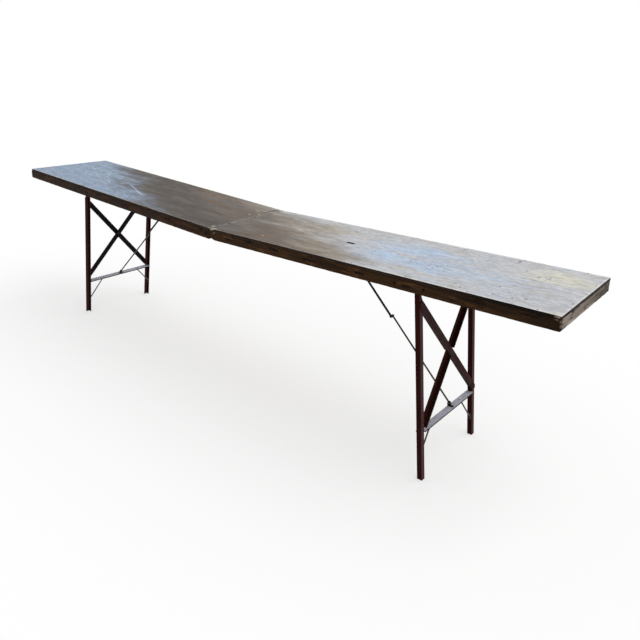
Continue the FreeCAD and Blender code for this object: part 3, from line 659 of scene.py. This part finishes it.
def slot_cutter(top):
    """Solid of the slot: a blunt, ragged outline from the slot's floor to well above the top."""
    sizes = bpy.context.scene.table_sizes
    length, width, depth = sizes.slot_size
    middle_x, middle_y = sizes.slot_place
    count = 36      # points of the outline
    blunt = 0.55      # ends of the slot are blunter than an ellipse's
    unevenness = 0.15
    waves = 3
    wave_seed = 7.0
    points = []
    for height in (top - depth, top + depth):
        for index in range(count):
            turn = 2 * math.pi * index / count
            wave = noise.noise(Vector((waves * math.cos(turn), waves * math.sin(turn), wave_seed)))
            ragged = 1.0 + unevenness * wave
            x = math.copysign(abs(math.cos(turn)) ** blunt, math.cos(turn)) * length / 2
            y = math.copysign(abs(math.sin(turn)) ** blunt, math.sin(turn)) * width / 2 * ragged
            points.append(table_point("right", Vector((middle_x + x, middle_y + y, height))))
    sides = [(i, (i + 1) % count, count + (i + 1) % count, count + i) for i in range(count)]
    caps = [tuple(reversed(range(count))), tuple(range(count, 2 * count))]
    mesh = bpy.data.meshes.new("slot_cutter")
    mesh.from_pydata(points, [], sides + caps)
    cutter = bpy.data.objects.new("slot_cutter", mesh)
    bpy.context.scene.collection.objects.link(cutter)
    return cutter


def cut_slot(piece, top):
    """Cuts the ragged slot into the right top; its inside has the board's last material."""
    sizes = bpy.context.scene.table_sizes
    length, width, depth = sizes.slot_size
    middle_x, middle_y = sizes.slot_place
    cutter = slot_cutter(top)
    cut = piece.modifiers.new("slot", "BOOLEAN")
    cut.operation = "DIFFERENCE"
    cut.solver = "EXACT"
    cut.object = cutter
    graph = bpy.context.evaluated_depsgraph_get()
    whole = piece.data
    piece.data = bpy.data.meshes.new_from_object(piece.evaluated_get(graph))
    piece.data.name = whole.name + "_slotted"
    piece.modifiers.clear()
    bpy.data.objects.remove(cutter)
    # Faces of the slot's walls and floor have their middles between these two heights
    highest = top - 0.2 * depth
    lowest = top - 1.1 * depth
    inside = 0
    for polygon in piece.data.polygons:
        place = leaf_point("right", polygon.center)
        near = abs(place.x - middle_x) < length and abs(place.y - middle_y) < width
        if near and lowest < place.z < highest:
            polygon.material_index = SLOT_FACE
            inside += 1
    if not inside:
        raise RuntimeError("the slot was not cut into the right top")


def dress(piece, side, node, slot, materials):
    """Puts a wooden piece in place of its node, on its leaf."""
    for material in materials:
        piece.data.materials.append(material)
    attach(piece, side + "_leaf")
    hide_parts(node)


def paint_nodes(names, material):
    """Gives nodes of the frame a material."""
    for name in names:
        mesh = frame["nodes"][name].data
        mesh.materials.clear()
        mesh.materials.append(material)


def both_sides(*names):
    """Names of the left and the right node of each kind."""
    return [side + "_" + name for side in SIDES for name in names]


class TABLE_OT_tops(bpy.types.Operator):
    """Make the two worn top boards"""

    bl_idname = "table.tops"
    bl_label = "Top boards"

    def execute(self, context):
        sizes = context.scene.table_sizes
        top = varnished_top()
        edge = board_edge()
        under = rough_pine("rough_pine_underside", ALONG)
        slot = black_slot()
        broken_reach = 25 * MM
        wave_offset = 0.1      # a little more than half of the joint is broken back

        def broken_back(point, low):
            """Breaks the board back unevenly at the joint."""
            share = max(0.0, 1.0 - (point.x - low.x) / broken_reach)
            wave = noise.fractal(Vector((0.0, point.y * JOINT_WAVES, low.x)), *FRACTAL)
            ragged = max(0.0, wave + wave_offset)
            return Vector((point.x + sizes.joint_wear * ragged * share, point.y, point.z))

        for side in SIDES:
            node = side + "_board"
            low, high = leaf_box(side, node)
            chips = [
                (Vector((low.x, -HALF_WIDTH, high.z)), 30 * MM, 6 * MM),
                (Vector((low.x, 0.6 * HALF_WIDTH, high.z)), 45 * MM, 2.5 * MM),
                (Vector((high.x, -HALF_WIDTH, high.z)), 22 * MM, 5.5 * MM),
            ]
            piece = worn_block(
                side + "_top_board", side, node, sizes.edge_wear, BOARD_GRID, chips, broken_back)
            dress(piece, side, node, "worn_top", (top, edge, under, edge, slot))
            if side == "right":
                cut_slot(piece, high.z)
        return {"FINISHED"}


class TABLE_OT_rails(bpy.types.Operator):
    """Make the rails and bearers under the boards"""

    bl_idname = "table.rails"
    bl_label = "Rails and bearers"

    def execute(self, context):
        sizes = context.scene.table_sizes
        long_rail = dark_rail()
        end_rail = weathered_end()
        bearer = rough_pine("rough_sawn_bearer", ACROSS)
        cross_members = {
            "end_rail": (end_rail, "rail_wood"),
            "joint_rail": (bearer, "bearer_wood"),
            "inner_bearer": (bearer, "bearer_wood"),
            "outer_bearer": (bearer, "bearer_wood"),
        }

        def worn_off(point, low):
            """Cuts the worn lower corner of the rail at the joint."""
            share = max(0.0, 1.0 - (point.x - low.x) / sizes.worn_corner[0])
            floor = low.z + sizes.worn_corner[1] * share
            return Vector((point.x, point.y, max(point.z, floor)))

        for side in SIDES:
            for name in ("front_rail", "back_rail"):
                node = side + "_" + name
                corner = worn_off if node == "right_front_rail" else None
                piece = worn_block(
                    node + "_wood", side, node, sizes.rail_wear, RAIL_GRID, shape=corner)
                dress(piece, side, node, "rail_wood", (long_rail,) * 4)
            for name, (material, slot) in cross_members.items():
                node = side + "_" + name
                piece = worn_block(node + "_wood", side, node, sizes.rail_wear, CROSS_GRID)
                dress(piece, side, node, slot, (material,) * 4)
        return {"FINISHED"}


class TABLE_OT_trestles(bpy.types.Operator):
    """Paint the iron trestles and their stays"""

    bl_idname = "table.trestles"
    bl_label = "Trestles and stays"

    def execute(self, context):
        oxide = tuple(context.scene.table_colours.paint)
        # Each paint's rubbed colour is painted light on the faces that look along X, as if lit
        leg = painted_iron(
            "oxide_painted_iron", oxide, greasy="#180403", worn="#4d3330", rubbed="#452c2d", painted_lit_facing="X")
        red_brace = painted_iron(
            "greasy_painted_iron", hex_colour("#2a130f"),
            greasy="#150a08", worn="#5b4c4d", rubbed="#2b0f09", painted_lit_facing="X")
        black_brace = painted_iron(
            "black_painted_iron", hex_colour("#100b0d"),
            greasy="#080607", worn="#30292b", rubbed="#150f11", painted_lit_facing="X")
        # On the crossbars the rubbed colour is a painted sky reflection on their tops
        bar = painted_iron(
            "crossbar_iron_painted_sky_reflection", hex_colour("#2f1517"),
            greasy="#1b0e10", worn="#6b5d62", rubbed="#c3c6d4", painted_lit_facing="Z")
        black_rod = painted_iron(
            "dark_rod_painted_lit_side", hex_colour("#2b2a29"),
            greasy="#171616", worn="#5c5956", rubbed="#4b4946", painted_lit_facing="X")
        grey_rod = painted_iron(
            "grey_rod_painted_lit_side", hex_colour("#4a4844"),
            greasy="#2b2a28", worn="#7b7770", rubbed="#68655f", painted_lit_facing="X")
        paint_nodes(both_sides("front_leg", "back_leg"), leg)
        paint_nodes(["right_outer_brace", "right_inner_brace", *both_sides("stay_lug")], red_brace)
        paint_nodes(["left_outer_brace", "left_inner_brace"], black_brace)
        paint_nodes(both_sides("crossbar", "frame_rivets"), bar)
        paint_nodes(both_sides("upper_stay"), black_rod)
        paint_nodes(both_sides("front_knee_rod", "back_knee_rod", "lower_stay"), grey_rod)
        return {"FINISHED"}


class TABLE_OT_fittings(bpy.types.Operator):
    """Finish the hinges, brackets, nails, screws and rivets"""

    bl_idname = "table.fittings"
    bl_label = "Fittings"

    def execute(self, context):
        steel = tuple(context.scene.table_colours.steel)
        plate = tarnished_steel("tarnished_plate", hex_colour("#4a4744"), rust="#3a2a20")
        bright = tarnished_steel("rubbed_steel", steel, rust="#3b2f27")
        # The heads' upward faces take the rubbed colour as painted light
        head = painted_iron(
            "stained_iron_head", hex_colour("#191210"),
            greasy="#0d0908", worn="#3a302a", rubbed="#3d3833", painted_lit_facing="Z")
        plates = both_sides("front_pivot_bracket", "back_pivot_bracket", "stay_bracket", "hinge_plates")
        small_parts = both_sides(
            "wood_screws", "pivot_spacers", "pivot_nuts", "stay_bracket_pin", "stay_lug_pin")
        paint_nodes(plates, plate)
        paint_nodes(both_sides("nails", "bracket_rivets"), head)
        paint_nodes([*small_parts, "hinge_pins"], bright)
        return {"FINISHED"}


# Stage

def shown_rays(tree):
    """Mask of the rays that show a surface to the lens: straight, mirrored or through glass."""
    seen = add(tree, "Math", {
        0: add(tree, "LightPath", out="Is Camera Ray"),
        1: add(tree, "LightPath", out="Is Glossy Ray")}, operation="MAXIMUM")
    return add(tree, "Math", {
        0: seen, 1: add(tree, "LightPath", out="Is Transmission Ray")}, operation="MAXIMUM")


def make_floor():
    """A plain pale floor, which shows a faint shadow."""
    reach = 60.0
    paper_share = 0.5
    corners = [(-reach, -reach, 0), (reach, -reach, 0), (reach, reach, 0), (-reach, reach, 0)]
    mesh = bpy.data.meshes.new("floor")
    mesh.from_pydata(corners, [], [(0, 1, 2, 3)])
    floor = bpy.data.objects.new("floor", mesh)
    bpy.context.scene.collection.objects.link(floor)
    material, tree = new_material("pale_floor")[:2]
    surface = add(tree, "BsdfPrincipled", {
        "Base Color": hex_colour("#fefefe"), "Roughness": 0.9, "Specular IOR Level": 0.0})
    # The lens sees a floor that is partly white paper, so that the shadow stays but is faint
    white = add(tree, "Emission", {"Color": WHITE, "Strength": 1.0})
    share = add(tree, "Math", {0: shown_rays(tree), 1: paper_share}, operation="MULTIPLY")
    paper = add(tree, "MixShader", {0: share, 1: surface, 2: white})
    # Seen from below, the floor is clear, so that it doesn't hide the underside of the table
    below = add(tree, "NewGeometry", out="Backfacing")
    clear = add(tree, "BsdfTransparent")
    add(tree, "OutputMaterial", {"Surface": add(tree, "MixShader", {0: below, 1: paper, 2: clear})})
    mesh.materials.append(material)


def make_light():
    """Soft studio light: an even sky, white where it is seen or mirrored, and one wide, distant lamp."""
    sky_strength = 0.74
    seen_strength = 1.0
    lamp_strength = 1.1
    lamp_angle = 60      # degrees
    lamp_place = Vector((3.0, 2.1, 4.8))
    world = bpy.data.worlds.new("studio")
    world.use_nodes = True
    bpy.context.scene.world = world
    tree = world.node_tree
    tree.nodes.clear()
    sky = add(tree, "Background", {"Color": WHITE, "Strength": sky_strength})
    white = add(tree, "Background", {"Color": WHITE, "Strength": seen_strength})
    both = add(tree, "MixShader", {0: shown_rays(tree), 1: sky, 2: white})
    add(tree, "OutputWorld", {"Surface": both})
    lamp = bpy.data.lights.new("window", "SUN")
    lamp.energy = lamp_strength
    lamp.angle = math.radians(lamp_angle)
    holder = bpy.data.objects.new("window", lamp)
    holder.location = lamp_place
    holder.rotation_euler = (-lamp_place).to_track_quat("-Z", "Y").to_euler()
    bpy.context.scene.collection.objects.link(holder)


def make_camera():
    """Camera at the photograph's viewing angle: its place in metres, angles in radians, frame in pixels."""
    place = Vector((2.0298, -2.0020, 1.4666))
    heading = 0.6741
    tilt = 0.3140
    roll = 0.0422
    focal_pixels = 633.4
    frame_pixels = 640.0
    centre_row = 260.0
    sensor = 36.0
    forward = Vector((
        -math.sin(heading) * math.cos(tilt), math.cos(heading) * math.cos(tilt), -math.sin(tilt)
    ))
    level = Vector((math.cos(heading), math.sin(heading), 0.0))
    above = level.cross(forward)
    right = level * math.cos(roll) + above * math.sin(roll)
    up = above * math.cos(roll) - level * math.sin(roll)
    data = bpy.data.cameras.new("camera")
    data.sensor_width = sensor
    data.lens = focal_pixels * sensor / frame_pixels
    data.shift_y = (centre_row - frame_pixels / 2) / frame_pixels
    camera = bpy.data.objects.new("camera", data)
    turn = Matrix((right, up, -forward)).transposed()
    camera.matrix_world = Matrix.Translation(place) @ turn.to_4x4()
    bpy.context.scene.collection.objects.link(camera)
    bpy.context.scene.camera = camera


class TABLE_OT_stage(bpy.types.Operator):
    """Make the floor, the light and the camera"""

    bl_idname = "table.stage"
    bl_label = "Stage"

    def execute(self, context):
        make_floor()
        make_light()
        make_camera()
        context.scene.view_settings.view_transform = "Standard"
        return {"FINISHED"}


STEPS = (TABLE_OT_tops, TABLE_OT_rails, TABLE_OT_trestles, TABLE_OT_fittings, TABLE_OT_stage)


class TABLE_PT_panel(bpy.types.Panel):
    """Lists the steps that dress the table"""

    bl_idname = "TABLE_PT_panel"
    bl_label = "Folding trestle table"
    bl_space_type = "VIEW_3D"
    bl_region_type = "UI"
    bl_category = "Table"

    def draw(self, context):
        for step in STEPS:
            self.layout.operator(step.bl_idname)
        for group in (context.scene.table_sizes, context.scene.table_colours):
            for name in group.__annotations__:
                self.layout.prop(group, name)


CLASSES = (TableSizes, TableColours, *STEPS, TABLE_PT_panel)


def register():
    for cls in CLASSES:
        bpy.utils.register_class(cls)
    bpy.types.Scene.table_sizes = bpy.props.PointerProperty(type=TableSizes)
    bpy.types.Scene.table_colours = bpy.props.PointerProperty(type=TableColours)


def unregister():
    del bpy.types.Scene.table_colours
    del bpy.types.Scene.table_sizes
    for cls in reversed(CLASSES):
        bpy.utils.unregister_class(cls)


def main():
    register()
    bpy.ops.table.tops()
    bpy.ops.table.rails()
    bpy.ops.table.trestles()
    bpy.ops.table.fittings()
    bpy.ops.table.stage()


if __name__ == "__main__":
    main()
